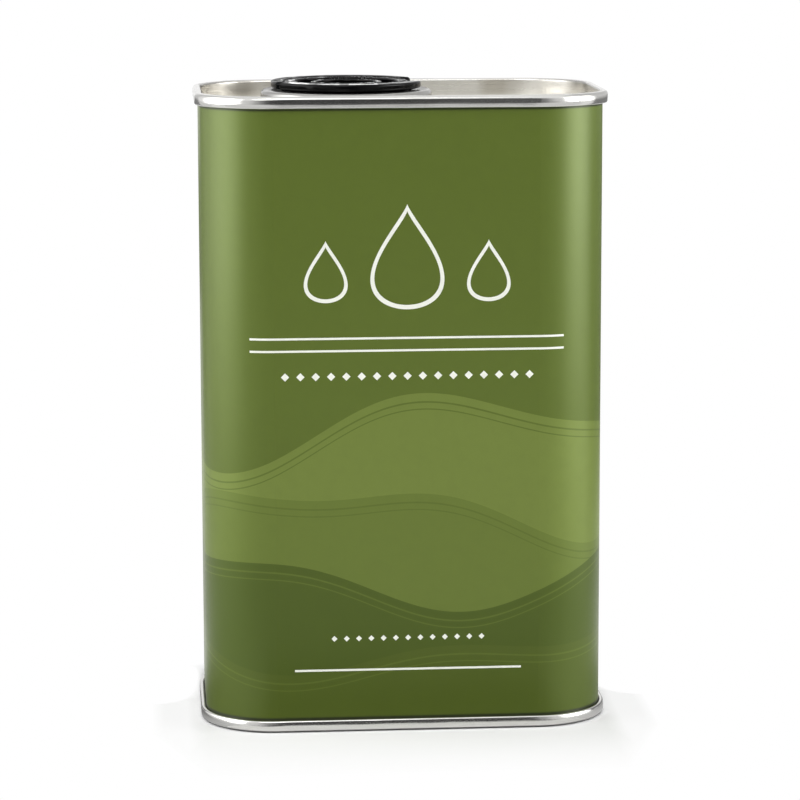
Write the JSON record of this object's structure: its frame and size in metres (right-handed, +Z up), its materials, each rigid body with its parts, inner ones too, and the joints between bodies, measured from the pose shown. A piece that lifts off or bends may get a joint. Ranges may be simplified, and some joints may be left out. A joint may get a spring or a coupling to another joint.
{
  "type": "oil tin with pull-up spout",
  "caption": "Rounded-rectangular printed tinplate oil tin with double-seamed ends and a black folding pour spout with screw cap and hinged pull bails.",
  "frame": {"origin": "middle of the base in plan, on the plane of the bottom seam's flat land, where the tin stands", "axes": "+Z up, the front broad face looks along -Y, and the spout stands off centre towards -X"},
  "size_m": [0.0872, 0.0532, 0.136],
  "materials": {
    "printed_tinplate": "green lithographed tinplate under a gloss varnish",
    "bright_tinplate": "bright rolled tinplate with fine lengthwise streaks",
    "crimp_metal": "bright tinplate, crimped",
    "seam_compound": "pale lining compound",
    "spout_plastic": "black moulded polyethylene, half gloss",
    "cap_plastic": "black moulded polyethylene, half gloss",
    "liner_foam": "white foamed polyethylene"
  },
  "bodies": {
    "tin": {"body_shell": "printed_tinplate", "top_end": "bright_tinplate", "bottom_end": "bright_tinplate", "top_seam_compound": "seam_compound", "bottom_seam_compound": "seam_compound", "crimp_ring": "crimp_metal", "spout_flange": "spout_plastic", "spout_cone": "spout_plastic"},
    "spout": {"spout_neck": "spout_plastic", "tear_seal": "spout_plastic"},
    "liner": {"cap_liner": "liner_foam"},
    "cap": {"cap": "cap_plastic"},
    "front_bail": {"front_bail": "cap_plastic"},
    "rear_bail": {"rear_bail": "cap_plastic"}
  },
  "joints": [
    {"name": "spout_pull", "type": "slide", "parent": "tin", "child": "spout", "axis": [0, 0, 1], "range_m": [0, 0.0225], "deforming": ["spout_cone"]},
    {"name": "cap_lift", "type": "slide", "parent": "spout", "child": "liner", "axis": [0, 0, 1], "range_m": [0, 0.012]},
    {"name": "cap_turn", "type": "hinge", "parent": "liner", "child": "cap", "pos_m": [-0.011, 0, 0.1328], "axis": [0, 0, 1], "range_deg": [0, 1440]},
    {"name": "front_bail_hinge", "type": "hinge", "parent": "cap", "child": "front_bail", "pos_m": [-0.01032, -0.00596, 0.13523], "axis": [-0.9936, -0.1132, 0], "range_deg": [0, 90]},
    {"name": "rear_bail_hinge", "type": "hinge", "parent": "cap", "child": "rear_bail", "pos_m": [-0.01175, 0.00174, 0.13523], "axis": [0.9178, 0.3971, 0], "range_deg": [0, 90]}
  ],
  "couplings": [
    {"joint": "cap_lift", "follows": "cap_turn", "m_per_rad": 0.00047746}
  ]
}
